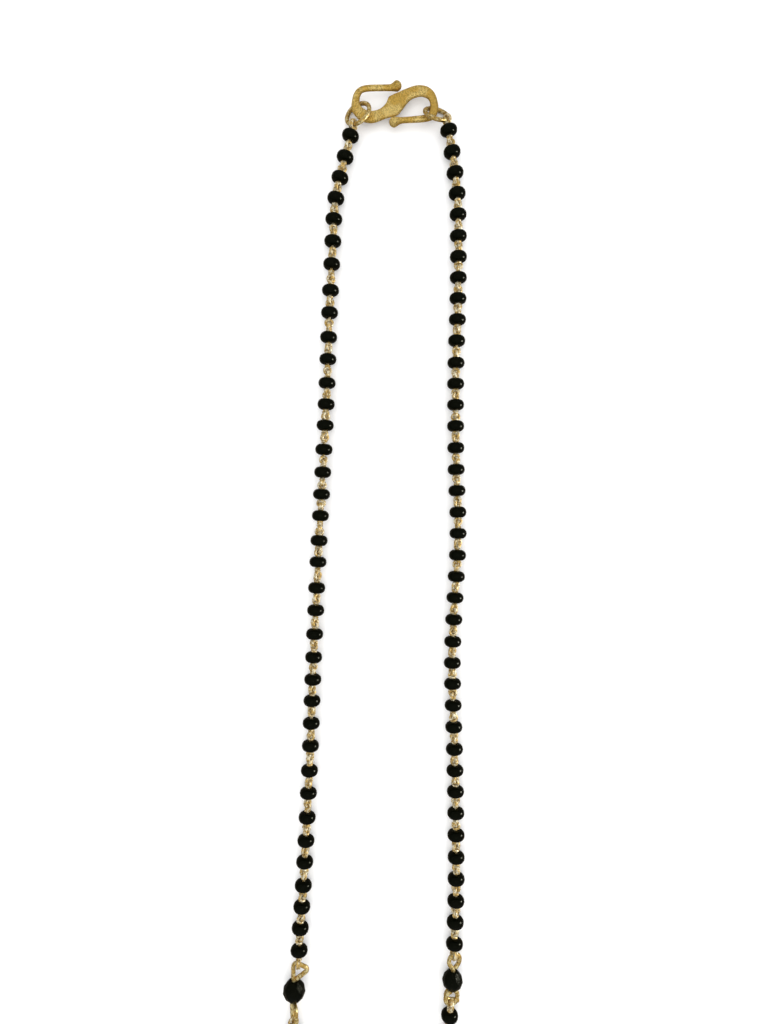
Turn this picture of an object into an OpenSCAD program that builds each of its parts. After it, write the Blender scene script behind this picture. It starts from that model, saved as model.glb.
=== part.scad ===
// Black-bead mangalsutra with an S-shaped hook, lying flat in a closed loop.
// Millimetres. X runs across the loop, Y along it towards the hook, Z up from the surface.

/* [Small beads] */
// Diameter of a small bead
bead_d = 3.1; // [2.7:0.05:3.5]
// Length of the longest small bead along its bore
bead_l = 2.0; // [1.8:0.02:2.1]
// How much shorter the shortest small bead is
bead_l_spread = 0.1; // [0:0.02:0.2]
// Diameter of a small bead's bore
bead_bore = 0.85; // [0.75:0.05:0.95]
// Width at which the rounded mouth of a bore meets the bead's end
bead_mouth = 1.3; // [1.1:0.05:1.4]
// Width of the straight band round the middle of a small bead
bead_band = 0.2; // [0.1:0.05:0.4]

/* [Fine wire] */
// Thickness of the wire in a small link
wire_d = 0.38; // [0.34:0.01:0.4]
// Clear air kept between an eye and the bead or wire next to it
wire_gap = 0.1; // [0.1:0.01:0.13]
// Further room that an eye has round the wire that it holds
eye_play = 0.1; // [0.06:0.01:0.14]

/* [Strands] */
// Length of the left strand, from its ring to the middle of its large bead
left_strand_l = 155.8; // [146:0.2:166]
// Length of the right strand, from its ring to the middle of its large bead
right_strand_l = 154.4; // [145:0.2:165]
// Slack in a link of the left strand, on average
left_play = 0.32; // [0.2:0.02:0.6]
// Slack in a link of the right strand, on average
right_play = 0.1; // [0.08:0.02:0.6]
// Slack in a link of the stretch between the two large beads, on average
lower_play = 0.24; // [0.1:0.02:0.6]
// Which irregular spacing of its beads the left strand has
left_pattern = 367; // [1:1:1200]
// Which irregular spacing of its beads the right strand has
right_pattern = 484; // [1:1:1200]
// Which irregular spacing the beads between the two large beads have
lower_pattern = 14; // [1:1:1200]
// Most that an eye turns away from its neighbours' pattern, in degrees
roll_spread = 75; // [0:5:90]

/* [Large beads] */
// Diameter over the facets of the left large bead
left_large_d = 4.1; // [3.6:0.1:4.6]
// Length of the left large bead
left_large_l = 3.7; // [3.2:0.1:4.2]
// Diameter over the facets of the right large bead
right_large_d = 3.8; // [3.4:0.1:4.4]
// Length of the right large bead
right_large_l = 3.4; // [3.0:0.1:3.8]
// Number of facets round a large bead
large_facets = 9; // [8:1:12]
// Diameter of a large bead's bore
large_bore = 1.0; // [0.9:0.05:1.2]
// Thickness of the wire in a large bead's link
heavy_wire_d = 0.66; // [0.6:0.01:0.7]
// Outer diameter of an eye of that link
heavy_eye_d = 3.0; // [2.8:0.1:3.2]
// Outer diameter of the left link's lower eye, which is longer than the others
left_low_eye_d = 4.0; // [3.0:0.1:4.1]
// Bare wire on either side of the left large bead
left_large_play = 0.3; // [0.1:0.05:0.5]
// Bare wire on either side of the right large bead
right_large_play = 0.12; // [0.1:0.02:0.4]
// How far the left link's upper eye stands to one side, as a share of its radius
left_large_side = 0.8; // [0:0.1:0.8]

/* [Hook] */
// Length of the S-shaped hook across the loop
hook_l = 15.66; // [14.6:0.1:16.8]
// Width of the hook along the loop, over the balls at its tips
hook_w = 8.32; // [7.8:0.1:8.8]
// Thickness of the hook's plate
hook_t = 0.8; // [0.65:0.05:0.85]
// Height of the hook's underside, where the low sides of the leaning rings carry it
hook_rise = 1.25; // [1.2:0.01:1.3]
// Diameter of the ball at the tip of the upper arm
upper_tip_d = 1.82; // [1.6:0.02:1.9]
// Diameter of the ball at the tip of the lower arm
lower_tip_d = 1.78; // [1.6:0.02:1.8]

/* [Rings] */
// Thickness of the wire of both rings
ring_wire_d = 0.64; // [0.56:0.02:0.66]
// Outer diameter of the left ring
left_ring_d = 5.3; // [5.2:0.05:5.6]
// Outer diameter of the right ring
right_ring_d = 5.1; // [5.0:0.05:5.4]
// Lean of the left ring away from lying flat, in degrees
left_ring_lean = 32; // [31:1:36]
// Lean of the right ring away from lying flat, in degrees
right_ring_lean = 40; // [38:1:44]

/* [Hidden] */
$fn = 48;

gold = [0.80, 0.65, 0.32];
pale_gold = [0.86, 0.76, 0.50];
black_glass = [0.05, 0.05, 0.06];
matt_black = [0.10, 0.10, 0.10];

// Eyes: the small one holds fine wire, the wide one holds a ring's or a large link's wire
eye_r = wire_d + wire_gap + eye_play;
wide_eye_r = (max(ring_wire_d, heavy_wire_d) + wire_d) / 2 + wire_gap + eye_play;
heavy_eye_r = (heavy_eye_d - heavy_wire_d) / 2;
left_low_eye_r = (left_low_eye_d - heavy_wire_d) / 2;
left_side = left_large_side * heavy_eye_r;
// The straight wire in a bead is a little slimmer than the wire of its eyes
shank_d = 0.92 * wire_d;
heavy_shank_d = 0.94 * heavy_wire_d;

// Distance from a bead's middle to an eye's middle when the eye all but touches the bead
function reach(half_l, mouth, eye, wire) =
    half_l + sqrt(pow(eye + wire / 2 + wire_gap, 2) - pow(mouth / 2, 2));
small_reach = reach(bead_l / 2, bead_mouth, eye_r, wire_d);
wide_reach = reach(bead_l / 2, bead_mouth, wide_eye_r, wire_d);
left_large_reach = reach(left_large_l / 2, large_bore, heavy_eye_r, heavy_wire_d) + left_large_play;
left_low_reach = reach(left_large_l / 2, large_bore, left_low_eye_r, heavy_wire_d) + left_large_play;
right_large_reach = reach(right_large_l / 2, large_bore, heavy_eye_r, heavy_wire_d) + right_large_play;

// Distance between the middles of two linked eyes
eye_step = eye_r;
function wide_step(r) = r + wide_eye_r - (heavy_wire_d + wire_d) / 2 - wire_gap - eye_play;
heavy_step = wide_step(heavy_eye_r);

// Heights above the surface
small_z = bead_d / 2;
left_large_z = left_large_d / 2;
right_large_z = right_large_d / 2;
hook_z = hook_rise + hook_t / 2;
// Stretch of strand over which a bead comes down to the surface
settle_l = 5;

// Vector helpers
function unit(v) = v / norm(v);
function dot(a, b) = a * b;
function sum(v, i = 0) = i < len(v) ? v[i] + sum(v, i + 1) : 0;
// Scatter from 0 to 1 that is the same each time, for copy k of a series
function scatter(k, series) = let(s = sin(k * 127.1 + series * 311.7) * 437.5) s - floor(s);

// Rings: middle, and the two directions that span each ring's plane.
// A ring turns about its first direction, so that its second one points up at the lean.
left_ring_r = (left_ring_d - ring_wire_d) / 2;
right_ring_r = (right_ring_d - ring_wire_d) / 2;
left_ring_seat = [-0.425, -0.208];
right_ring_seat = [0.477, -0.229];
left_ring_turn = 55;
right_ring_turn = -20;
// Angles round the rings at which the strands hang
left_hang = 164;
right_hang = 18;
function ring_middle(seat, r, lean) =
    [seat[0] * hook_l, seat[1] * hook_w, ring_wire_d / 2 + r * sin(lean)];
left_ring_c = ring_middle(left_ring_seat, left_ring_r, left_ring_lean);
right_ring_c = ring_middle(right_ring_seat, right_ring_r, right_ring_lean);
function level_axis(turn) = [cos(turn), sin(turn), 0];
function rising_axis(turn, lean) = [sin(turn) * cos(lean), -cos(turn) * cos(lean), sin(lean)];
function ring_point(c, r, turn, lean, a) =
    c + r * (cos(a) * level_axis(turn) + sin(a) * rising_axis(turn, lean));
function ring_tangent(turn, lean, a) = cos(a) * rising_axis(turn, lean) - sin(a) * level_axis(turn);

// Route of the beads from the left ring round to the right ring, seen from above.
// X and Y are measured from the middle of the hook.
ROUTE = [
    [-9.0, -9.6], [-10.7, -17], [-11.2, -25], [-11.8, -38], [-12.3, -52], [-13.1, -68],
    [-13.9, -83], [-14.7, -101], [-15.4, -120], [-16.4, -139], [-17.3, -152], [-17.2, -156],
    [-18.1, -163.5], [-18.6, -171], [-18.8, -186], [-18.8, -208.5], [-16.0, -216.9], [-8.9, -222.1],
    [0.2, -222.1], [7.3, -216.9], [10.1, -208.5], [10, -186], [9.6, -168], [10.3, -158],
    [10.8, -148], [11, -139], [10.9, -125], [10.6, -113], [10.3, -101], [10.6, -92],
    [11.3, -80], [11.3, -73], [11, -66], [10.9, -50], [11.3, -36], [11.4, -26],
    [11.2, -16], [10.2, -8.2]
];
left_start = ring_point(left_ring_c, left_ring_r, left_ring_turn, left_ring_lean, left_hang);
right_start = ring_point(right_ring_c, right_ring_r, right_ring_turn, right_ring_lean, right_hang);

// Smooth curve through the route's points, as closely spaced points
function spline(a, b, c, d, t) =
    (2 * b + (c - a) * t + (2 * a - 5 * b + 4 * c - d) * t * t + (3 * b - a - 3 * c + d) * t * t * t) / 2;
function flat(p) = [p[0], p[1]];
knots = concat([flat(left_start)], ROUTE, [flat(right_start)]);
knot_n = len(knots);
function knot(i) =
    i < 0 ? 2 * knots[0] - knots[1]
    : i >= knot_n ? 2 * knots[knot_n - 1] - knots[knot_n - 2]
    : knots[i];
span_steps = 10;
trail = [
    for (i = [0 : knot_n - 2], j = [0 : span_steps - 1])
        spline(knot(i - 1), knot(i), knot(i + 1), knot(i + 2), j / span_steps),
    knots[knot_n - 1]
];
trail_n = len(trail);
trail_s = [
    for (i = 0, s = 0; i < trail_n; i = i + 1, s = s + (i < trail_n ? norm(trail[i] - trail[i - 1]) : 0)) s
];
loop_l = trail_s[trail_n - 1];
function span_at(s, low, high) =
    high - low <= 1 ? low
    : let(mid = floor((low + high) / 2)) trail_s[mid] <= s ? span_at(s, mid, high) : span_at(s, low, mid);

// Places of the large beads along the route
left_large_s = left_strand_l;
right_large_s = loop_l - right_strand_l;

// Height of the wire at distance s along the route: it comes down from each ring, and is
// lifted where a large bead carries it
function ease(t) = t <= 0 ? 1 : t >= 1 ? 0 : (1 - t) * (1 - t) * (1 + 2 * t);
function lift(s, top, at, flat_l) = (top - small_z) * ease((abs(s - at) - flat_l) / settle_l);
function height_at(s) =
    small_z
    + lift(s, left_start[2], 0, 0)
    + lift(s, left_large_z, left_large_s, left_large_reach)
    + lift(s, right_large_z, right_large_s, right_large_reach)
    + lift(s, right_start[2], loop_l, 0);
function place_at(s) =
    let(
        i = span_at(s, 0, trail_n - 1),
        t = (s - trail_s[i]) / (trail_s[i + 1] - trail_s[i]),
        p = trail[i] * (1 - t) + trail[i + 1] * t
    )
    [p[0], p[1], height_at(s)];

// The loop is moved so that the middle of its box is at X = Y = 0
trail_x = [for (p = trail) p[0]];
trail_y = [for (p = trail) p[1]];
loop_shift = [
    -(min(trail_x) + max(trail_x)) / 2,
    -(min(trail_y) - small_z + hook_w / 2) / 2,
    0
];

// A strand from distance s0 to s1 along the route. It has one link for each bead.
// Each link: [start of the link, distance between its eyes, its slack].
link_l = 2 * small_reach;
end_extra = wide_reach - small_reach;
function link_count(room, play) = floor((room - 2 * end_extra + eye_step) / (link_l + eye_step + play));
function strand(s0, s1, play, series) =
    let(
        room = s1 - s0,
        n = link_count(room, play),
        spare = room - 2 * end_extra - n * link_l - (n - 1) * eye_step,
        shares = [for (k = [0 : n - 1]) pow(scatter(k, series), 2) + 0.04],
        all = sum(shares),
        slack = [for (q = shares) spare * q / all],
        extra = [for (k = [0 : n - 1]) (k == 0 ? end_extra : 0) + (k == n - 1 ? end_extra : 0)]
    )
    [
        for (k = 0, s = s0; k < n; s = s + link_l + slack[k] + extra[k] + eye_step, k = k + 1)
            [s, link_l + slack[k] + extra[k], slack[k]]
    ];
left_strand = strand(0, left_large_s - left_large_reach - heavy_step, left_play, left_pattern);
lower_strand = strand(
    left_large_s + left_low_reach + wide_step(left_low_eye_r),
    right_large_s - right_large_reach - heavy_step,
    lower_play, lower_pattern
);
right_strand = strand(
    right_large_s + right_large_reach + heavy_step,
    loop_l,
    right_play, right_pattern
);

// Turn of the eye at the end of link k, and the next link's first eye is square to it
function joint_roll(k, series) = 90 * (k % 2) + roll_spread * (2 * scatter(k, series + 7) - 1);
// Turns of the large links' eyes: 0 lies flat and shows its hole, 90 stands on edge
left_large_rolls = [0, 70];
right_large_rolls = [14, 22];

// Turn that sets an eye square to a ring's wire at its hanging point, for a link along u
function square_roll(u, tangent) =
    let(
        side = unit([-u[1], u[0], 0]),
        up = cross(u, side)
    )
    atan2(-dot(tangent, side), dot(tangent, up));

// Placing of children along the straight line from a to b, with local X along it
module along(a, b) {
    u = unit(b - a);
    translate(a) rotate([0, -asin(u[2]), atan2(u[1], u[0])]) children();
}

// An eye lies in the local XY plane, with its middle at the origin
module eye(r, wire) {
    rotate_extrude() translate([r, 0]) circle(d = wire);
}

// One link of wire: two eyes joined by a straight shank. The first eye may stand to one side.
module wire_link(a, b, r_a, r_b, roll_a, roll_b, wire, shank, side = 0) {
    span = norm(b - a);
    start = sqrt(r_a * r_a - side * side);
    along(a, b) {
        rotate([roll_a, 0, 0]) translate([0, side, 0]) eye(r_a, wire);
        translate([start, 0, 0]) rotate([0, 90, 0]) cylinder(d = shank, h = span - start - r_b);
        translate([span, 0, 0]) rotate([roll_b, 0, 0]) eye(r_b, wire);
    }
}

// A small round-edged bead with its bore along X and its middle at the origin
module small_bead(length) {
    half_l = length / 2;
    round_r = half_l - bead_band / 2;
    mouth_depth = (bead_mouth - bead_bore) / 2;
    rotate([0, 90, 0])
        rotate_extrude()
            difference() {
                intersection() {
                    union() {
                        for (side = [-1, 1])
                            translate([bead_d / 2 - round_r, side * bead_band / 2]) circle(r = round_r);
                        translate([0, -bead_band / 2]) square([bead_d / 2, bead_band]);
                    }
                    translate([bead_bore / 2, -bead_l]) square([bead_d, 2 * bead_l]);
                }
                for (end = [-1, 1])
                    polygon([
                        [0, end * (half_l - mouth_depth)],
                        [bead_bore / 2, end * (half_l - mouth_depth)],
                        [bead_mouth / 2, end * half_l],
                        [bead_mouth / 2, end * bead_l],
                        [0, end * bead_l]
                    ]);
            }
}

// Rings of corners of a faceted bead: [place along the bore as a share of half the length,
// distance out as a share of the radius, turn in facets]
FACET_RINGS = [
    [-1.00, 0.46, 0.0],
    [-0.46, 0.90, 0.5],
    [ 0.06, 1.00, 0.0],
    [ 0.52, 0.84, 0.5],
    [ 1.00, 0.44, 0.0]
];
module faceted_bead(d, length) {
    n = large_facets;
    rows = len(FACET_RINGS);
    corners = [
        for (ring = FACET_RINGS, k = [0 : n - 1])
            let(a = 360 / n * (k + ring[2]))
            [ring[0] * length / 2, ring[1] * d / 2 * cos(a), ring[1] * d / 2 * sin(a)]
    ];
    sides = [
        for (j = [0 : rows - 2], k = [0 : n - 1])
            let(
                ahead = FACET_RINGS[j + 1][2] > FACET_RINGS[j][2],
                a0 = j * n + k,
                a1 = j * n + (k + 1) % n,
                b0 = (j + 1) * n + k,
                b1 = (j + 1) * n + (k + 1) % n
            )
            each ahead ? [[a0, b0, a1], [a1, b0, b1]] : [[a0, b0, b1], [a0, b1, a1]]
    ];
    first_end = [for (k = [0 : n - 1]) k];
    last_end = [for (k = [0 : n - 1]) rows * n - 1 - k];
    difference() {
        polyhedron(corners, concat([first_end], sides, [last_end]));
        translate([-length, 0, 0]) rotate([0, 90, 0]) cylinder(d = large_bore, h = 2 * length);
    }
}

module strand_beads(links, series) {
    for (k = [0 : len(links) - 1]) {
        a = place_at(links[k][0]);
        b = place_at(links[k][0] + links[k][1]);
        first = k == 0 ? end_extra : 0;
        last = k == len(links) - 1 ? end_extra : 0;
        slide = 0.8 * links[k][2] * (scatter(k, series + 13) - 0.5);
        middle = (norm(b - a) + first - last) / 2 + slide;
        along(a, b)
            translate([middle, 0, 0]) small_bead(bead_l - bead_l_spread * scatter(k, series + 17));
    }
}

// first_roll and last_roll turn the wide eyes at the strand's two ends
module strand_links(links, series, first_roll, last_roll) {
    n = len(links);
    for (k = [0 : n - 1])
        wire_link(
            place_at(links[k][0]),
            place_at(links[k][0] + links[k][1]),
            k == 0 ? wide_eye_r : eye_r,
            k == n - 1 ? wide_eye_r : eye_r,
            k == 0 ? first_roll : joint_roll(k - 1, series) + 90,
            k == n - 1 ? last_roll : joint_roll(k, series),
            wire_d, shank_d
        );
}

module ring_on(c, r, turn, lean) {
    translate(c) rotate([0, 0, turn]) rotate([-lean, 0, 0]) eye(r, ring_wire_d);
}

// Start of a large link's shank: square beside the middle of its first eye, on the outer side
// of the loop. Both eyes of the link stand on the route, up_l before and low_l after the bead.
function shank_start(s, up_l, low_l, side) =
    let(
        a = place_at(s - up_l),
        b = place_at(s + low_l),
        chord = norm(b - a),
        u = (b - a) / chord,
        swing = asin(side / chord)
    )
    b - sqrt(chord * chord - side * side)
        * [u[0] * cos(swing) - u[1] * sin(swing), u[0] * sin(swing) + u[1] * cos(swing), 0];

module large_link(s, up_l, low_l, low_r, rolls, side = 0) {
    wire_link(
        shank_start(s, up_l, low_l, side), place_at(s + low_l),
        heavy_eye_r, low_r, rolls[0], rolls[1], heavy_wire_d, heavy_shank_d, side
    );
}

module large_bead(s, up_l, low_l, d, length, side = 0) {
    along(shank_start(s, up_l, low_l, side), place_at(s + low_l))
        translate([up_l, 0, 0]) faceted_bead(d, length);
}

// Ribs across the hook's flat band, from the tip of the upper arm to that of the lower arm.
// Columns: X and Y of one edge, X and Y of the other, as shares of hook_l and hook_w.
HOOK_RIBS = [
    [-0.040,  0.413, -0.040,  0.284],
    [-0.195,  0.411, -0.195,  0.284],
    [-0.310,  0.403, -0.305,  0.275],
    [-0.385,  0.375, -0.368,  0.250],
    [-0.440,  0.310, -0.392,  0.200],
    [-0.475,  0.210, -0.404,  0.130],
    [-0.492,  0.090, -0.408,  0.055],
    [-0.500, -0.045, -0.404, -0.010],
    [-0.494, -0.150, -0.384, -0.067],
    [-0.454, -0.258, -0.347, -0.128],
    [-0.391, -0.367, -0.293, -0.160],
    [-0.287, -0.410, -0.236, -0.154],
    [-0.213, -0.387, -0.167, -0.110],
    [-0.132, -0.327, -0.106, -0.002],
    [-0.069, -0.290, -0.077,  0.121],
    [-0.025, -0.272, -0.055,  0.167],
    [ 0.032, -0.235,  0.046,  0.251],
    [ 0.092, -0.100,  0.109,  0.305],
    [ 0.155,  0.052,  0.172,  0.353],
    [ 0.218,  0.128,  0.230,  0.387],
    [ 0.293,  0.162,  0.293,  0.398],
    [ 0.362,  0.132,  0.379,  0.361],
    [ 0.398,  0.052,  0.454,  0.236],
    [ 0.405, -0.067,  0.490,  0.040],
    [ 0.395, -0.165,  0.494, -0.143],
    [ 0.352, -0.240,  0.450, -0.316],
    [ 0.264, -0.266,  0.325, -0.388],
    [ 0.057, -0.296,  0.057, -0.413]
];
// Places of the tips across the loop, as shares of hook_l
upper_tip_share = 0.017;
lower_tip_share = -0.010;
cap_angles = [-75, -45, -15, 15, 45, 75];

// One cross-section of the hook: a flat band with round edges, 2 hb wide and 2 ht thick,
// whose middle is at p and whose width runs along w
function band(p, w, hb, ht) =
    let(r = min(hb, ht))
    concat(
        [for (a = cap_angles) p + w * (hb - r + r * cos(a)) + [0, 0, ht * sin(a)]],
        [for (a = cap_angles) p - w * (hb - r + r * cos(a)) - [0, 0, ht * sin(a)]]
    );
function rib_ends(i) =
    let(rib = HOOK_RIBS[max(0, min(len(HOOK_RIBS) - 1, i))])
    [rib[0] * hook_l, rib[1] * hook_w, rib[2] * hook_l, rib[3] * hook_w];
function rib_band(e) =
    let(a = [e[0], e[1], 0], b = [e[2], e[3], 0])
    band((a + b) / 2, unit(b - a), norm(b - a) / 2, hook_t / 2);
// Cross-sections through a tip's ball: angles are counted from the ball's far pole
function ball_band(c, aim, side, r, angles) =
    [for (a = angles) band(c + aim * r * cos(a), side, r * sin(a), r * sin(a))];
rib_steps = 3;

module hook_body() {
    last = len(HOOK_RIBS) - 1;
    body = [
        for (i = [0 : last - 1], j = [0 : rib_steps - 1])
            rib_band(spline(rib_ends(i - 1), rib_ends(i), rib_ends(i + 1), rib_ends(i + 2), j / rib_steps)),
        rib_band(rib_ends(last))
    ];
    up_c = [upper_tip_share * hook_l, (hook_w - upper_tip_d) / 2, 0];
    low_c = [lower_tip_share * hook_l, (lower_tip_d - hook_w) / 2, 0];
    sections = concat(
        ball_band(up_c, [1, 0, 0], [0, -1, 0], upper_tip_d / 2, [15, 40, 65, 90, 108]),
        body,
        ball_band(low_c, [-1, 0, 0], [0, -1, 0], lower_tip_d / 2, [108, 90, 65, 40, 15])
    );
    n = 2 * len(cap_angles);
    rows = len(sections);
    points = [for (section = sections, p = section) p];
    sides = [
        for (j = [0 : rows - 2], k = [0 : n - 1])
            let(a0 = j * n + k, a1 = j * n + (k + 1) % n, b0 = a0 + n, b1 = a1 + n)
            each [[a0, b1, a1], [a0, b0, b1]]
    ];
    polyhedron(points, concat(
        [[for (k = [0 : n - 1]) k]],
        sides,
        [[for (k = [0 : n - 1]) rows * n - 1 - k]]
    ));
}

module hook_clasp() {
    color(gold) translate([0, 0, hook_z]) hook_body();
}

module left_ring() {
    color(gold) ring_on(left_ring_c, left_ring_r, left_ring_turn, left_ring_lean);
}

module right_ring() {
    color(gold) ring_on(right_ring_c, right_ring_r, right_ring_turn, right_ring_lean);
}

module left_beads() {
    color(black_glass) strand_beads(left_strand, left_pattern);
}

module left_links() {
    first_dir = unit(place_at(left_strand[0][1]) - place_at(0));
    tangent = ring_tangent(left_ring_turn, left_ring_lean, left_hang);
    first_roll = square_roll(first_dir, tangent);
    color(pale_gold)
        strand_links(left_strand, left_pattern, first_roll, left_large_rolls[0] + 90);
}

module right_beads() {
    color(black_glass) strand_beads(right_strand, right_pattern);
}

module right_links() {
    last_link = right_strand[len(right_strand) - 1];
    last_dir = unit(place_at(loop_l) - place_at(last_link[0]));
    tangent = ring_tangent(right_ring_turn, right_ring_lean, right_hang);
    last_roll = square_roll(last_dir, tangent);
    color(pale_gold)
        strand_links(right_strand, right_pattern, right_large_rolls[1] + 90, last_roll);
}

module lower_beads() {
    color(black_glass) strand_beads(lower_strand, lower_pattern);
}

module lower_links() {
    color(pale_gold)
        strand_links(lower_strand, lower_pattern, left_large_rolls[1] + 90, right_large_rolls[0] + 90);
}

module left_large_bead() {
    color(matt_black)
        large_bead(left_large_s, left_large_reach, left_low_reach, left_large_d, left_large_l, left_side);
}

module left_large_link() {
    color(gold)
        large_link(
            left_large_s, left_large_reach, left_low_reach, left_low_eye_r, left_large_rolls, left_side
        );
}

module right_large_bead() {
    color(matt_black)
        large_bead(right_large_s, right_large_reach, right_large_reach, right_large_d, right_large_l);
}

module right_large_link() {
    color(gold)
        large_link(right_large_s, right_large_reach, right_large_reach, heavy_eye_r, right_large_rolls);
}

translate(loop_shift) hook_clasp();
translate(loop_shift) left_ring();
translate(loop_shift) right_ring();
translate(loop_shift) left_beads();
translate(loop_shift) left_links();
translate(loop_shift) right_beads();
translate(loop_shift) right_links();
translate(loop_shift) lower_beads();
translate(loop_shift) lower_links();
translate(loop_shift) left_large_bead();
translate(loop_shift) left_large_link();
translate(loop_shift) right_large_bead();
translate(loop_shift) right_large_link();
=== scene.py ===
"""Finished look of a black-bead mangalsutra: bent wire links, glass beads, jump rings and a flat hook."""
import math
import random

import bpy
import numpy as np
from mathutils import Matrix, Vector


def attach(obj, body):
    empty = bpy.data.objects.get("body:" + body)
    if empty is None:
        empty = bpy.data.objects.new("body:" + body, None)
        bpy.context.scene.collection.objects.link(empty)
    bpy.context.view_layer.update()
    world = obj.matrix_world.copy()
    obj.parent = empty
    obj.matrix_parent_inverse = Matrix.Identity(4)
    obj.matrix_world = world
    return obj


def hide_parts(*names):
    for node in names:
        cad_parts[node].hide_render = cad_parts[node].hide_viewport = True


bl_info = {
    "name": "Mangalsutra Bead Necklace",
    "version": (1, 0, 0),
    "blender": (4, 5, 0),
    "location": "3D View > Sidebar > Necklace",
    "description": "Models and finishes a black-bead necklace on bent wire links round its packed solids",
    "category": "Object",
}

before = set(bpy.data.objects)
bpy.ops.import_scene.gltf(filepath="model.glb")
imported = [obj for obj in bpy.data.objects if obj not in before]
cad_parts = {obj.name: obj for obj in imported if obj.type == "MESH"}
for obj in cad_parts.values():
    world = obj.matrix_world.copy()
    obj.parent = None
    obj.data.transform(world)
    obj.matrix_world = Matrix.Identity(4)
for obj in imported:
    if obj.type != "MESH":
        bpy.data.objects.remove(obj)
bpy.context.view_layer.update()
MM = 0.001
UP = Vector((0, 0, 1))


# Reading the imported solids

SOLID_WIRE = 0.38 * MM  # thickness of the solid wire in a small link
SOLID_HEAVY_WIRE = 0.66 * MM  # thickness of the solid wire in a large bead's link
PLACE_DIGITS = 7  # decimals of a metre to which two corners count as one
LEAST_OFFSET = 0.1 * MM  # an eye less far than this from its link's line lies on it


def loose_solids(node):
    """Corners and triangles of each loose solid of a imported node."""
    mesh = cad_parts[node].data
    corners = np.empty(len(mesh.vertices) * 3, np.float32)
    mesh.vertices.foreach_get("co", corners)
    corners = corners.reshape(-1, 3).astype(np.float64)
    mesh.calc_loop_triangles()
    triangles = np.empty(len(mesh.loop_triangles) * 3, np.int32)
    mesh.loop_triangles.foreach_get("vertices", triangles)
    triangles = triangles.reshape(-1, 3)
    _, same = np.unique(np.round(corners, PLACE_DIGITS), axis=0, return_inverse=True)
    joined = same.reshape(-1)[triangles]
    label = np.arange(joined.max() + 1)
    while True:
        before = label.copy()
        lowest = label[joined].min(axis=1)
        for k in range(3):
            np.minimum.at(label, joined[:, k], lowest)
        label = label[label]
        if (label == before).all():
            break
    of_triangle = label[joined[:, 0]]
    return [corners[triangles[of_triangle == name]] for name in np.unique(of_triangle)]


def middle_and_axes(triangles):
    """Middle of a solid's surface, and its main directions from the shortest to the longest spread."""
    centres = triangles.mean(axis=1)
    sides = np.cross(triangles[:, 1] - triangles[:, 0], triangles[:, 2] - triangles[:, 0])
    areas = np.linalg.norm(sides, axis=1)
    middle = (centres * areas[:, None]).sum(axis=0) / areas.sum()
    away = centres - middle
    spread = (away * areas[:, None]).T @ away
    sizes, directions = np.linalg.eigh(spread)
    return middle, sizes, directions


def read_bead(triangles):
    """Middle, bore direction, length and diameter of a bead."""
    middle, sizes, directions = middle_and_axes(triangles)
    gaps = [sizes[1] - sizes[0], sizes[2] - sizes[1]]
    bore = directions[:, 0] if gaps[0] > gaps[1] else directions[:, 2]
    away = triangles.reshape(-1, 3) - middle
    along = away @ bore
    out = np.linalg.norm(away - np.outer(along, bore), axis=1)
    return {
        "middle": Vector(middle + bore * (along.max() + along.min()) / 2),
        "bore": Vector(bore),
        "length": float(np.ptp(along)),
        "diameter": float(2 * out.max()),
    }


def read_eye(away, bore, end, wire):
    """Middle, in-plane direction and radius of the eye at one end of a link."""
    along = away @ bore * end
    half = away[along > 0]
    across = half - np.outer(half @ bore, bore)
    _, directions = np.linalg.eigh(np.cov(across.T))
    side = directions[:, 2]
    reach = across @ side
    outer = np.ptp(reach) / 2
    offset = (reach.max() + reach.min()) / 2
    if offset < 0:
        side = -side
        offset = -offset
    return {
        "along": float((along.max() - outer) * end),
        "side": Vector(side),
        "offset": float(offset) if offset > LEAST_OFFSET else 0.0,
        "radius": float(outer - wire / 2),
    }


def read_link(triangles, wire, middle=None, bore=None):
    """Line and eyes of a wire link. The line is the link's longest direction, or the one given."""
    if bore is None:
        middle, _, directions = middle_and_axes(triangles)
        bore = directions[:, 2]
    middle = np.array(middle)
    bore = np.array(bore)
    away = triangles.reshape(-1, 3) - middle
    return {
        "middle": Vector(middle),
        "bore": Vector(bore),
        "eyes": [read_eye(away, bore, end, wire) for end in (-1, 1)],
    }


def read_ring(triangles):
    """Middle, flat direction and radii of a jump ring."""
    middle, _, directions = middle_and_axes(triangles)
    flat = directions[:, 0]
    away = triangles.reshape(-1, 3) - middle
    up = away @ flat
    out = np.linalg.norm(away - np.outer(up, flat), axis=1)
    wire = float(np.ptp(up))
    return {
        "middle": Vector(middle),
        "flat": Vector(flat),
        "wire": wire,
        "radius": float(out.max()) - wire / 2,
    }


# Working at the bench

# Degrees between two rings of corners in a bend
FINE_STEP = 26
HEAVY_STEP = 22
RING_STEP = 9
# The cut end of a wire, in shares of the wire's thickness
RIM_WIDTH = 0.16
RIM_RISE = 0.08
END_REACH = 0.53


def clear_selection():
    """Leaves edit mode, with nothing selected."""
    if bpy.context.object and bpy.context.object.mode != "OBJECT":
        bpy.ops.object.mode_set(mode="OBJECT")
    bpy.ops.object.select_all(action="DESELECT")


def take(*objects):
    """Selects these objects alone and makes the first one active."""
    clear_selection()
    for obj in objects:
        obj.select_set(True)
    bpy.context.view_layer.objects.active = objects[0]


def edit(select="DESELECT", by="VERT"):
    """Goes into edit mode on the active object, with all or nothing of its mesh selected."""
    bpy.ops.object.mode_set(mode="EDIT")
    bpy.ops.mesh.select_mode(type=by)
    bpy.ops.mesh.select_all(action=select)


def done():
    """Leaves edit mode."""
    bpy.ops.object.mode_set(mode="OBJECT")


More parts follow.
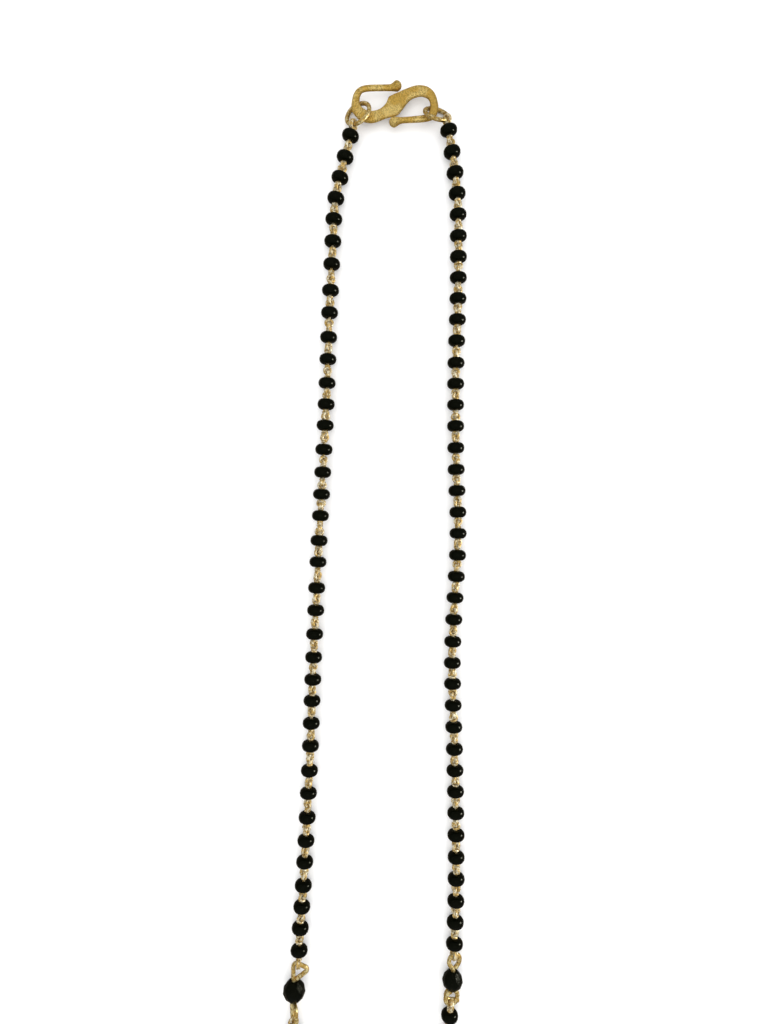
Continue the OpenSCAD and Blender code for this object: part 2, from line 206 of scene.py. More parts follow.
def pick_vertices(obj, test):
    """Selects the vertices that pass a test on their place, from inside edit mode."""
    bpy.ops.object.mode_set(mode="OBJECT")
    for vertex in obj.data.vertices:
        vertex.select = bool(test(vertex.co))
    bpy.ops.object.mode_set(mode="EDIT")


def pick_faces(obj, test):
    """Selects the faces that pass a test on middle and normal, from inside edit mode."""
    bpy.ops.object.mode_set(mode="OBJECT")
    for vertex in obj.data.vertices:
        vertex.select = False
    for edge in obj.data.edges:
        edge.select = False
    for face in obj.data.polygons:
        face.select = bool(test(face.center, face.normal))
    bpy.ops.object.mode_set(mode="EDIT")


def apply_modifiers(obj):
    """Applies a shape's modifiers in their order."""
    take(obj)
    for modifier in list(obj.modifiers):
        bpy.ops.object.modifier_apply(modifier=modifier.name)


def point_outwards(obj):
    """Turns all faces of a closed shape outwards."""
    take(obj)
    edit("SELECT")
    bpy.ops.mesh.normals_make_consistent(inside=False)
    done()


def copy_to(master, matrix):
    """A copy of a modelled shape with a mesh of its own, its place in the mesh."""
    copy = master.copy()
    copy.data = master.data.copy()
    copy.data.transform(matrix)
    bpy.context.scene.collection.objects.link(copy)
    return copy


def join_as(name, objects):
    """Joins objects into one piece of this name."""
    take(*objects)
    if len(objects) > 1:
        bpy.ops.object.join()
    piece = bpy.context.object
    piece.name = name
    piece.data.name = name
    return piece


def drop(*objects):
    """Throws away shapes that were only worked from."""
    for obj in objects:
        bpy.data.objects.remove(obj, do_unlink=True)


def complete(piece, node, finish, degrees):
    """Shades a piece smooth up to an angle, gives it its finish and puts it in its node's place."""
    take(piece)
    bpy.ops.object.shade_smooth_by_angle(angle=math.radians(degrees))
    piece.data.materials.clear()
    piece.data.materials.append(bpy.data.materials[finish])
    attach(piece, "root")
    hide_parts(node)


def turned(origin, forward, side):
    """Matrix that takes local X to forward and local Y to side, at a place."""
    x = Vector(forward).normalized()
    z = x.cross(Vector(side)).normalized()
    y = z.cross(x)
    return Matrix((
        (x[0], y[0], z[0], origin[0]),
        (x[1], y[1], z[1], origin[1]),
        (x[2], y[2], z[2], origin[2]),
        (0, 0, 0, 1),
    ))


class Wire:
    """A round wire that is bent as with pliers: each step continues from the wire's open end."""

    def __init__(self, start, heading, normal, thickness, sides=8):
        self.place = Vector(start)
        self.heading = Vector(heading).normalized()
        self.normal = Vector(normal).normalized()
        self.thickness = thickness
        self.first = self.place.copy()
        clear_selection()
        turn = self.heading.to_track_quat("Z", "Y").to_euler()
        bpy.ops.mesh.primitive_circle_add(
            vertices=sides, radius=thickness / 2, location=self.place, rotation=turn
        )
        self.obj = bpy.context.object
        bpy.ops.object.transform_apply(location=True, rotation=True, scale=True)
        edit("SELECT")

    def bend(self, degrees, radius, step=FINE_STEP):
        """Bends to the left of the heading by an angle, or to the right by a negative one."""
        left = self.normal.cross(self.heading)
        turn = math.copysign(1, degrees)
        centre = self.place + left * radius * turn
        steps = max(2, round(abs(degrees) / step))
        bpy.ops.mesh.spin(
            steps=steps, angle=-math.radians(degrees), center=centre, axis=self.normal
        )
        bent = Matrix.Rotation(math.radians(degrees), 3, self.normal)
        self.place = centre + bent @ (self.place - centre)
        self.heading = bent @ self.heading

    def straight(self, length):
        """Leads the wire straight on."""
        step = self.heading * length
        bpy.ops.mesh.extrude_region_move(TRANSFORM_OT_translate={"value": step})
        self.place = self.place + step

    def slip(self, distance):
        """Moves the open end sideways out of the plane of the bend."""
        step = self.normal * distance
        bpy.ops.transform.translate(value=step)
        self.place = self.place + step

    def cut(self):
        """Closes the open end as a cut end with a slightly dressed rim."""
        bpy.ops.mesh.edge_face_add()
        bpy.ops.mesh.inset(thickness=self.thickness * RIM_WIDTH, depth=self.thickness * RIM_RISE)
        bpy.ops.mesh.select_all(action="DESELECT")

    def cut_start(self):
        """Closes the end that the wire began at in the same way."""
        reach = self.thickness * END_REACH
        start = self.first
        pick_vertices(self.obj, lambda co: (co - start).length < reach)
        self.cut()


def bend_round_eye(wire, radius, corner, opening, rise):
    """Bends the corner and the round eye of a link, whose middle lies ahead on the wire's line.
    With a rise the eye has two turns, this far apart, the first one bent in quarters."""
    joined = math.degrees(math.asin(corner / (radius + corner)))
    wire.bend(90 - joined, corner)
    if rise:
        wire.slip(-rise / 2)
        for _ in range(4):
            wire.bend(-90, radius)
            wire.slip(rise / 4)
    wire.bend(-(360 - opening - joined), radius)


def corner_reach(radius, corner):
    """How far before a round eye's middle the straight part of the wire ends."""
    return math.sqrt((radius + corner) ** 2 - corner ** 2)


def bend_along(wire, steps):
    """Leads a wire through steps of (degrees, radius in mm, rise in mm) or (0, length in mm)."""
    for degrees, size, *rise in steps:
        if degrees:
            wire.bend(degrees, size * MM, HEAVY_STEP)
        else:
            wire.straight(size * MM)
        for height in rise:
            wire.slip(height * MM)


# Finishes

# Each finish by its name: the values of its skin, the values of its shader, and its relief in mm.
# Scales are per metre. Polish is the roughness of the smoothest places and Dullness of the dullest.
FINISHES = {
    "Gilt plate": (
        {
            "Patch Scale": 420.0, "Grain Scale": 5600.0, "Tarnish Amount": 0.9,
            "Polish": 0.42, "Dullness": 0.58,
        },
        {"Metallic": 0.92, "Coat Weight": 0.0, "Coat Roughness": 0.16},
        0.009,
    ),
    "Gilt ring": (
        {
            "Patch Scale": 1900.0, "Grain Scale": 3200.0, "Tarnish Amount": 0.95,
            "Polish": 0.36, "Dullness": 0.58,
        },
        {"Metallic": 0.85, "Coat Weight": 0.15, "Coat Roughness": 0.16},
        0.04,
    ),
    "Pale gilt wire": (
        {
            "Patch Scale": 1900.0, "Grain Scale": 3600.0, "Tarnish Amount": 0.9,
            "Polish": 0.50, "Dullness": 0.66,
        },
        {"Metallic": 0.6, "Coat Weight": 0.05, "Coat Roughness": 0.16},
        0.04,
    ),
    "Black glass": (
        {
            "Dust": (0.05, 0.05, 0.045, 1), "Dust Scale": 6000.0, "Dust Amount": 0.4,
            "Dust Start": 0.68, "Polish": 0.15, "Dullness": 0.23, "Grain": 0.0,
        },
        {"Specular IOR Level": 0.08, "Specular Tint": (1.0, 0.98, 0.72, 1)},
        0.003,
    ),
    "Speckled black glass": (
        {
            "Glass": (0.001, 0.0014, 0.0006, 1), "Dust": (0.03, 0.03, 0.024, 1),
            "Dust Scale": 4000.0, "Dust Amount": 0.12, "Dust Start": 0.62,
            "Polish": 0.10, "Dullness": 0.20, "Grain": 0.9,
        },
        {"Specular IOR Level": 0.065, "Specular Tint": (1.0, 0.98, 0.72, 1)},
        0.09,
    ),
}
# Values of the noise between which each effect sets in
RUBBED = (0.43, 0.60)
TARNISHED = (0.45, 0.64)
WORN_DULL = (0.35, 0.65)
SMEARED = (0.3, 0.7)
DUST_EDGE = 0.08  # how much the noise rises across the edge of a speck of dust
SMEAR_SCALE = 700.0  # smears per metre
# Sockets of the Mix node when it mixes colours
MIX_SHARE = 0
MIX_FIRST = 6
MIX_SECOND = 7
MIX_RESULT = 2


def feed(tree, socket, item):
    """Links an output to a socket, or sets the socket's own value."""
    if isinstance(item, bpy.types.NodeSocket):
        tree.links.new(item, socket)
    else:
        socket.default_value = item


def new_skin(name, inputs):
    """An empty shader group with these inputs, and with a colour, a roughness and a height to fill."""
    group = bpy.data.node_groups.new(name, "ShaderNodeTree")
    for label, value in inputs.items():
        kind = "NodeSocketColor" if isinstance(value, tuple) else "NodeSocketFloat"
        socket = group.interface.new_socket(name=label, in_out="INPUT", socket_type=kind)
        socket.default_value = value
    for label, kind in (
        ("Color", "NodeSocketColor"), ("Roughness", "NodeSocketFloat"), ("Height", "NodeSocketFloat")
    ):
        group.interface.new_socket(name=label, in_out="OUTPUT", socket_type=kind)
    start = group.nodes.new("NodeGroupInput")
    end = group.nodes.new("NodeGroupOutput")
    start.location = (-900, 0)
    end.location = (900, 0)
    return group, start.outputs, end.inputs


def object_place(group):
    """Each point's place on the piece."""
    node = group.nodes.new("ShaderNodeTexCoord")
    node.location = (-900, 300)
    return node.outputs["Object"]


def add_noise(group, place, scale, detail, rough, at):
    """Soft noise with this many spots per metre."""
    node = group.nodes.new("ShaderNodeTexNoise")
    node.location = at
    feed(group, node.inputs["Vector"], place)
    feed(group, node.inputs["Scale"], scale)
    feed(group, node.inputs["Detail"], detail)
    feed(group, node.inputs["Roughness"], rough)
    return node.outputs["Fac"]


def add_range(group, value, low, high, to_low, to_high, at):
    """Leads a value smoothly from one range to another."""
    node = group.nodes.new("ShaderNodeMapRange")
    node.location = at
    node.interpolation_type = "SMOOTHSTEP"
    feed(group, node.inputs["Value"], value)
    feed(group, node.inputs["From Min"], low)
    feed(group, node.inputs["From Max"], high)
    feed(group, node.inputs["To Min"], to_low)
    feed(group, node.inputs["To Max"], to_high)
    return node.outputs["Result"]


def add_mix(group, share, first, second, at):
    """Mixes a share of the second colour or value into the first."""
    node = group.nodes.new("ShaderNodeMix")
    node.location = at
    node.data_type = "RGBA"
    feed(group, node.inputs[MIX_SHARE], share)
    feed(group, node.inputs[MIX_FIRST], first)
    feed(group, node.inputs[MIX_SECOND], second)
    return node.outputs[MIX_RESULT]


def add_sum(group, first, second, at):
    """Adds two values."""
    node = group.nodes.new("ShaderNodeMath")
    node.location = at
    node.operation = "ADD"
    feed(group, node.inputs[0], first)
    feed(group, node.inputs[1], second)
    return node.outputs["Value"]


def worn_gilt_group():
    """Gilding with paler rubbed patches, a fine dark grain and uneven polish."""
    group, given, wanted = new_skin("Worn gilding", {
        "Gilding": (0.7, 0.5, 0.2, 1),
        "Rubbed": (0.8, 0.7, 0.4, 1),
        "Tarnish": (0.3, 0.2, 0.08, 1),
        "Patch Scale": 900.0,
        "Grain Scale": 4000.0,
        "Tarnish Amount": 0.4,
        "Polish": 0.25,
        "Dullness": 0.45,
    })
    place = object_place(group)
    patch = add_noise(group, place, given["Patch Scale"], detail=3, rough=0.55, at=(-600, 300))
    grain = add_noise(group, place, given["Grain Scale"], detail=4, rough=0.65, at=(-600, 0))
    rubbed = add_range(group, patch, *RUBBED, 0.0, 1.0, at=(-350, 300))
    tarnish = add_range(group, grain, *TARNISHED, 0.0, given["Tarnish Amount"], at=(-350, 0))
    gilding = add_mix(group, rubbed, given["Gilding"], given["Rubbed"], at=(-50, 200))
    colour = add_mix(group, tarnish, gilding, given["Tarnish"], at=(200, 200))
    height = add_mix(group, 0.5, patch, grain, at=(-50, -100))
    rough = add_range(group, height, *WORN_DULL, given["Polish"], given["Dullness"], at=(200, -100))
    group.links.new(colour, wanted["Color"])
    group.links.new(rough, wanted["Roughness"])
    group.links.new(height, wanted["Height"])
    return group


def glass_skin_group():
    """Black glass with faint smears, a few dust specks and a slightly uneven surface."""
    group, given, wanted = new_skin("Glass skin", {
        "Glass": (0.004, 0.004, 0.003, 1),
        "Dust": (0.08, 0.08, 0.07, 1),
        "Dust Scale": 5000.0,
        "Dust Amount": 0.5,
        "Dust Start": 0.66,
        "Polish": 0.1,
        "Dullness": 0.25,
        "Grain": 0.0,
    })
    place = object_place(group)
    smear = add_noise(group, place, SMEAR_SCALE, detail=2, rough=0.5, at=(-600, 300))
    speck = add_noise(group, place, given["Dust Scale"], detail=2, rough=0.6, at=(-600, 0))
    full = add_sum(group, given["Dust Start"], DUST_EDGE, at=(-450, -200))
    dust = add_range(group, speck, given["Dust Start"], full, 0.0, given["Dust Amount"], at=(-250, 0))
    colour = add_mix(group, dust, given["Glass"], given["Dust"], at=(100, 100))
    rough = add_range(group, smear, *SMEARED, given["Polish"], given["Dullness"], at=(100, -100))
    height = add_mix(group, given["Grain"], smear, speck, at=(100, -300))
    group.links.new(colour, wanted["Color"])
    group.links.new(rough, wanted["Roughness"])
    group.links.new(height, wanted["Height"])
    return group


def make_material(name, group, colours):
    """One of the finishes in the table, with a skin group in the colours given."""
    skin_values, shader_values, relief_depth = FINISHES[name]
    material = bpy.data.materials.new(name)
    material.use_nodes = True
    tree = material.node_tree
    shader = tree.nodes["Principled BSDF"]
    for label, value in shader_values.items():
        shader.inputs[label].default_value = value
    skin = tree.nodes.new("ShaderNodeGroup")
    skin.node_tree = group
    skin.location = (-600, 100)
    for label, value in skin_values.items():
        skin.inputs[label].default_value = value
    for label, colour in colours.items():
        skin.inputs[label].default_value = (*colour, 1)
    relief = tree.nodes.new("ShaderNodeBump")
    relief.location = (-300, -200)
    relief.inputs["Strength"].default_value = 1.0
    relief.inputs["Distance"].default_value = relief_depth * MM
    tree.links.new(skin.outputs["Color"], shader.inputs["Base Color"])
    tree.links.new(skin.outputs["Roughness"], shader.inputs["Roughness"])
    tree.links.new(skin.outputs["Height"], relief.inputs["Height"])
    tree.links.new(relief.outputs["Normal"], shader.inputs["Normal"])


# Sizes and colours

class NecklaceBeadSizes(bpy.types.PropertyGroup):
    sides: bpy.props.IntProperty(
        name="Sides", description="Faces round a small bead", default=20, min=12, max=32
    )
    rounding: bpy.props.IntProperty(
        name="Rounding", description="Rows of faces on each rounded edge", default=4, min=3, max=8
    )
    edge: bpy.props.FloatProperty(
        name="Edge Radius", description="Radius of a small bead's rounded edges",
        default=0.92 * MM, unit="LENGTH", precision=5,
    )
    bore: bpy.props.FloatProperty(
        name="Bore", description="Diameter of a small bead's bore",
        default=0.85 * MM, unit="LENGTH", precision=5,
    )
    wobble: bpy.props.FloatProperty(
        name="Wobble", description="Most that a small bead departs from true, as a share of its size",
        default=0.012, min=0.0, max=0.03, subtype="FACTOR",
    )
    facet_edge: bpy.props.FloatProperty(
        name="Facet Edge", description="Width of the rounded edges between a large bead's facets",
        default=0.11 * MM, unit="LENGTH", precision=5,
    )


class NecklaceWireSizes(bpy.types.PropertyGroup):
    fine: bpy.props.FloatProperty(
        name="Fine Wire", description="Thickness of the wire in a small link",
        default=0.50 * MM, unit="LENGTH", precision=5,
    )
    spread: bpy.props.FloatProperty(
        name="Eye Spread", description="How much wider a bent eye's radius is than the solid eye's",
        default=0.04 * MM, unit="LENGTH", precision=5,
    )
    wrap: bpy.props.FloatProperty(
        name="Wrap", description="Radius over the wire that is wrapped between an eye and its bead",
        default=0.58 * MM, unit="LENGTH", precision=5,
    )
    pitch: bpy.props.FloatProperty(
        name="Wrap Pitch", description="Distance from one wrapped turn to the next",
        default=0.36 * MM, unit="LENGTH", precision=5,
    )
    double: bpy.props.FloatProperty(
        name="Double Turn", description="Distance between the two turns of an upright eye",
        default=0.36 * MM, unit="LENGTH", precision=5,
    )
    heavy: bpy.props.FloatProperty(
        name="Heavy Wire", description="Thickness of the wire in a large bead's link",
        default=0.80 * MM, unit="LENGTH", precision=5,
    )
    corner: bpy.props.FloatProperty(
        name="Corner", description="Radius of the bend where a small eye leaves the straight wire",
        default=0.25 * MM, unit="LENGTH", precision=5,
    )
    opening: bpy.props.FloatProperty(
        name="Opening", description="Angle of an eye that stays open beside the straight wire",
        default=math.radians(26), subtype="ANGLE",
    )
    ring_share: bpy.props.FloatProperty(
        name="Ring Wire", description="Thickness of the rings' wire as a share of the solid ring's",
        default=1.2, min=1.0, max=1.25, subtype="FACTOR",
    )
    seam: bpy.props.FloatProperty(
        name="Ring Seam", description="Gap at the cut in a jump ring",
        default=0.05 * MM, unit="LENGTH", precision=5,
    )


class NecklaceColours(bpy.types.PropertyGroup):
    hook: bpy.props.FloatVectorProperty(
        name="Hook", description="Gilding of the hook", subtype="COLOR", size=3,
        default=(0.75, 0.485, 0.105), min=0, max=1,
    )
    hook_rubbed: bpy.props.FloatVectorProperty(
        name="Rubbed Hook", description="Paler patches where the hook's gilding is rubbed",
        subtype="COLOR", size=3, default=(0.93, 0.71, 0.25), min=0, max=1,
    )
    ring: bpy.props.FloatVectorProperty(
        name="Ring", description="Gilding of the rings and the heavier wires", subtype="COLOR", size=3,
        default=(0.60, 0.385, 0.095), min=0, max=1,
    )
    ring_rubbed: bpy.props.FloatVectorProperty(
        name="Rubbed Ring", description="Paler patches of the rings and the heavier wires",
        subtype="COLOR", size=3, default=(0.84, 0.73, 0.38), min=0, max=1,
    )
    wire: bpy.props.FloatVectorProperty(
        name="Wire", description="Gilding of the links", subtype="COLOR", size=3,
        default=(0.60, 0.41, 0.125), min=0, max=1,
    )
    wire_rubbed: bpy.props.FloatVectorProperty(
        name="Rubbed Wire", description="Paler patches of the links", subtype="COLOR", size=3,
        default=(0.79, 0.74, 0.55), min=0, max=1,
    )
    tarnish: bpy.props.FloatVectorProperty(
        name="Tarnish", description="Dark grain in the gilding", subtype="COLOR", size=3,
        default=(0.22, 0.13, 0.03), min=0, max=1,
    )
    glass: bpy.props.FloatVectorProperty(
        name="Glass", description="Black glass of the beads", subtype="COLOR", size=3,
        default=(0.0003, 0.0008, 0.0001), min=0, max=1,
    )


class NecklaceStageSizes(bpy.types.PropertyGroup):
    lens: bpy.props.FloatProperty(
        name="Lens", description="Focal length of the camera", default=22.5, subtype="DISTANCE_CAMERA"
    )
    height: bpy.props.FloatProperty(
        name="Camera Height", description="Height of the camera above the floor",
        default=116.72 * MM, unit="LENGTH", precision=5,
    )
    aim: bpy.props.FloatVectorProperty(
        name="Camera Aim", description="Point of the floor below the camera", size=2,
        default=(1.824 * MM, 36.70 * MM), unit="LENGTH", precision=5,
    )
    ambient: bpy.props.FloatProperty(
        name="Soft Light", description="Strength of the light from all sides", default=1.5, min=0
    )
    reflected: bpy.props.FloatProperty(
        name="Reflected Light", description="Strength of the surroundings in reflections",
        default=0.75, min=0,
    )
    glint: bpy.props.FloatProperty(
        name="Glint Light", description="Power of the small light at the right",
        default=0.42, min=0, unit="POWER",
    )


# Shapes

# Greatest bend in degrees that each kind of surface is shaded smooth over
BEAD_SMOOTH = 40
WIRE_SMOOTH = 50
FACET_SMOOTH = 24
HOOK_SMOOTH = 60

BEAD_SHARE = 0.996  # how wide a turned and leaning bead is, as a share of its solid
BEAD_LEAN = 1.2  # most that a bead leans on its wire, in degrees
END_FACING = 0.9  # how squarely a face looks along the bore at the ends of a plain cylinder
FLAT_FACING = 0.99  # the same once the edges are rounded, where only the flat ends may count
# A bead's mouth, in shares of what is left between its rounded edge and its bore
DISH_WIDTH = 0.45
DISH_DEPTH = 0.22
LIP_WIDTH = 0.55
LIP_DEPTH = 0.65


def small_bead_master(beads, length, diameter):
    """One small bead at the origin with its bore along X."""
    clear_selection()
    bpy.ops.mesh.primitive_cylinder_add(
        vertices=beads.sides, radius=diameter / 2, depth=length, end_fill_type="NGON",
        rotation=(0, math.radians(90), 0),
    )
    bead = bpy.context.object
    bpy.ops.object.transform_apply(location=True, rotation=True, scale=True)
    edit(by="EDGE")
    pick_faces(bead, lambda centre, normal: abs(normal.x) > END_FACING)
    bpy.ops.mesh.bevel(
        offset=beads.edge, segments=beads.rounding, profile=0.5, affect="EDGES", clamp_overlap=False
    )
    pick_faces(bead, lambda centre, normal: abs(normal.x) > FLAT_FACING)
    mouth = diameter / 2 - beads.edge - beads.bore / 2
    bpy.ops.mesh.inset(
        thickness=mouth * DISH_WIDTH, depth=-mouth * DISH_DEPTH, use_individual=True
    )
    bpy.ops.mesh.inset(thickness=mouth * LIP_WIDTH, depth=-mouth * LIP_DEPTH, use_individual=True)
    bpy.ops.mesh.delete(type="FACE")
    bpy.ops.mesh.select_all(action="DESELECT")
    bpy.ops.mesh.select_mode(type="EDGE")
    bpy.ops.mesh.select_non_manifold()
    bpy.ops.mesh.bridge_edge_loops()
    done()
    point_outwards(bead)
    return bead


def make_small_beads(context, name, node, seed):
    """All beads of one strand, each a slightly different copy of one bead."""
    beads = context.scene.necklace_beads
    chance = random.Random(seed)
    read = [read_bead(solid) for solid in loose_solids(node)]
    length = max(item["length"] for item in read)
    diameter = max(item["diameter"] for item in read)
    master = small_bead_master(beads, length, diameter)
    copies = []
    for item in read:
        _, wide, high = [min(1, 1 + beads.wobble * chance.uniform(-1, 1)) for _ in range(3)]
        width = item["diameter"] / diameter * BEAD_SHARE
        scale = Matrix.Diagonal((item["length"] / length, width * wide, width * high, 1))
        spin = Matrix.Rotation(chance.uniform(0, math.tau), 4, "X")
        lean = Matrix.Rotation(math.radians(chance.uniform(-BEAD_LEAN, BEAD_LEAN)), 4, "Z")
        place = turned(item["middle"], item["bore"], UP)
        copies.append(copy_to(master, place @ lean @ spin @ scale))
    drop(master)
    piece = join_as(name, copies)
    complete(piece, node, "Black glass", BEAD_SMOOTH)


STUB = 0.35 * MM  # straight end of half a small link, where it is bridged to the other half
WRAPPED_SHARE = 0.8  # thickness of the wrapped turns as a share of the link's wire
WRAP_LEAN = 12  # how far the wrapped turns lean, in degrees
WRAP_INSET = 0.14 * MM  # how far inside the eye's radius the first turn lies
WRAP_BARE = 0.10 * MM  # length beside the bead that stays unwrapped
OPENING_CHANGES = (-4, 0, 5)  # by how many degrees an eye's opening may differ from the usual one
UPRIGHT = 0.7  # an eye that stands more steeply than this has two turns
EYE_DIGITS = 2  # decimals of a millimetre to which eyes of one size share a shape


def half_link_master(wires, radius, opening, turns, rise):
    """Half of a small link: the eye's middle at the origin, the bead's side towards +X.
    The wire's end is wrapped in turns round the wire between the eye and the bead."""
    reach = corner_reach(radius, wires.corner)
    wire = Wire((reach + STUB, 0, 0), (-1, 0, 0), (0, 0, 1), wires.fine)
    wire.straight(STUB)
    bend_round_eye(wire, radius, wires.corner, opening, rise)
    wire.cut()
    done()
    parts = [wire.obj]
    wrapped = wires.fine * WRAPPED_SHARE / 2
    for turn in range(turns):
        clear_selection()
        bpy.ops.mesh.primitive_torus_add(
            major_segments=14, minor_segments=6, major_radius=wires.wrap - wrapped,
            minor_radius=wrapped, rotation=(0, math.radians(90), math.radians(WRAP_LEAN)),
            location=(radius - WRAP_INSET + turn * wires.pitch, 0, 0),
        )
        parts.append(bpy.context.object)
    return join_as("half link", parts)


def join_halves(name, halves):
    """Joins the two halves of a link and bridges their open ends."""
    link = join_as(name, halves)
    edit(by="EDGE")
    bpy.ops.mesh.select_non_manifold()
    bpy.ops.mesh.bridge_edge_loops()
    done()
    return link


def make_small_links(context, name, node, bead_node, seed):
    """All links of one strand. Each is two bent eyes, joined through its bead."""
    wires = context.scene.necklace_wire
    chance = random.Random(seed)
    opening = math.degrees(wires.opening)
    beads = [read_bead(solid) for solid in loose_solids(bead_node)]
    masters = {}
    links = []
    for solid in loose_solids(node):
        link = read_link(solid, SOLID_WIRE)
        bead = min(beads, key=lambda item: (item["middle"] - link["middle"]).length)
        shift = (bead["middle"] - link["middle"]).dot(link["bore"])
        halves = []
        for end, eye in zip((-1, 1), link["eyes"]):
            radius = round(eye["radius"] / MM, EYE_DIGITS) * MM + wires.spread
            room = abs(eye["along"]) - bead["length"] / 2 - shift * end
            turns = 1 + max(0, round((room - radius - WRAP_BARE) / wires.pitch))
            rise = wires.double if abs(eye["side"].z) > UPRIGHT else 0
            change = chance.choice(OPENING_CHANGES)
            kind = (radius, change, turns, rise)
            if kind not in masters:
                masters[kind] = half_link_master(wires, radius, opening + change, turns, rise)
            side = eye["side"] * chance.choice((-1, 1))
            middle = link["middle"] + link["bore"] * eye["along"]
            halves.append(copy_to(masters[kind], turned(middle, link["bore"] * -end, side)))
        links.append(join_halves("link", halves))
    drop(*masters.values())
    piece = join_as(name, links)
    point_outwards(piece)
    complete(piece, node, "Pale gilt wire", WIRE_SMOOTH)


RING_SEAMS = {"left": 110, "right": 60}  # where each ring's seam lies, in degrees from level
SEAM_STEP = 0.07 * MM  # how far a ring's two ends stand past each other


def make_ring(context, name, node, seam_at):
    """One jump ring, cut and closed with a fine seam."""
    wires = context.scene.necklace_wire
    ring = read_ring(loose_solids(node)[0])
    flat = ring["flat"] if ring["flat"].z > 0 else -ring["flat"]
    level = UP.cross(flat).normalized()
    start = Matrix.Rotation(math.radians(seam_at), 3, flat) @ level
    gap = math.degrees(wires.seam / ring["radius"])
    thickness = ring["wire"] * wires.ring_share
    radius = ring["radius"] + (ring["wire"] - thickness) / 2
    wire = Wire(ring["middle"] + start * radius, flat.cross(start), flat, thickness, sides=12)
    wire.bend(360 - gap, radius, RING_STEP)
    wire.slip(SEAM_STEP)
    wire.cut()
    wire.cut_start()
    done()
    piece = join_as(name, [wire.obj])
    lowest = min(vertex.co.z for vertex in piece.data.vertices)
    piece.data.transform(Matrix.Translation((0, 0, max(0, -lowest))))
    point_outwards(piece)
    complete(piece, node, "Gilt ring", WIRE_SMOOTH)


# Ways in which the eyes of the large links are bent, from the bead's mouth to the cut end:
# steps of (degrees to the left, radius in mm, then a rise in mm) or (0, length in mm)
TRIANGLE_EYE = (
    (25, 0.5), (0, 0.10), (-25, 0.5), (0, 1.92), (-115, 0.62), (0, 1.40), (-117, 0.5), (0, 2.3),
)
LONG_EYE = (
    (80, 0.45), (0, 0.86), (-80, 0.45), (0, 1.36), (-180, 1.6), (0, 1.36), (-80, 0.45), (0, 0.95),
)
DROP_EYE = ((37, 0.4), (0, 1.1), (-254, 1.08), (0, 0.92))
COILED_EYE = (
    (60, 0.4), (0, 0.35), (-110, 1.2, 0.2), (-110, 1.2, 0.2), (-110, 1.2, 0.2),
    (-170, 0.95), (0, 1.75),
)
# The two eyes of each large link, the one nearer to the hook first
LARGE_EYES = {"left": (TRIANGLE_EYE, LONG_EYE), "right": (DROP_EYE, COILED_EYE)}
MOUTH_STUB = 0.3 * MM  # straight wire inside the mouth of a large bead's bore


def make_large_link(context, name, node, bead_node, ways):
    """The heavier link of a large bead, bent from one wire with an eye at each end.
    The first way is for the eye nearer to the hook."""
    wires = context.scene.necklace_wire
    bead = read_bead(loose_solids(bead_node)[0])
    away_from_hook = -bead["bore"] if bead["bore"].y > 0 else bead["bore"]
    link = read_link(loose_solids(node)[0], SOLID_HEAVY_WIRE, bead["middle"], away_from_hook)
    inside = bead["length"] / 2 - MOUTH_STUB
    halves = []
    for end, eye, steps in zip((-1, 1), link["eyes"], ways):
        side = eye["side"]
        if eye["offset"] == 0 and side.x < 0:
            side = -side
        wire = Wire((0, 0, 0), (-1, 0, 0), (0, 0, 1), wires.heavy, sides=10)
        wire.straight(MOUTH_STUB)
        bend_along(wire, steps)
        wire.cut()
        done()
        mouth = link["middle"] + link["bore"] * end * inside
        halves.append(copy_to(wire.obj, turned(mouth, link["bore"] * -end, side)))
        drop(wire.obj)
    piece = join_halves(name, halves)
    point_outwards(piece)
    complete(piece, node, "Gilt ring", WIRE_SMOOTH)


WELD = 0.002 * MM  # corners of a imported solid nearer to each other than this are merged


def merged_copy(node, name):
    """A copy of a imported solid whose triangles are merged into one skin."""
    copy = copy_to(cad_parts[node], Matrix())
    copy.name = name
    take(copy)
    edit("SELECT")
    bpy.ops.mesh.remove_doubles(threshold=WELD)
    bpy.ops.mesh.tris_convert_to_quads()
    done()
    return copy


FLAT_FACET = 3  # bend in degrees below which neighbouring faces make one facet
FACET_BEND = 9  # bend in degrees above which an edge between facets is softened


def make_large_bead(context, name, node):
    """A large faceted bead with softened edges between its facets."""
    beads = context.scene.necklace_beads
    bead = merged_copy(node, name)
    take(bead)
    edit("SELECT")
    bpy.ops.mesh.dissolve_limited(angle_limit=math.radians(FLAT_FACET))
    done()
    bevel = bead.modifiers.new("Soft edges", "BEVEL")
    bevel.width = beads.facet_edge
    bevel.segments = 2
    bevel.limit_method = "ANGLE"
    bevel.angle_limit = math.radians(FACET_BEND)
    apply_modifiers(bead)
    piece = join_as(name, [bead])
    complete(piece, node, "Speckled black glass", FACET_SMOOTH)


HOOK_SWELL = 0.03 * MM  # how far the hook's skin moves out before it is rounded
CROWN = ((0.28 * MM, 0.035 * MM), (0.25 * MM, 0.02 * MM))  # width and rise of each step inwards
FLAT_SIDE = 0.985  # how squarely a face of the hook's flat sides looks up or down
ROUNDING_LEVELS = 2


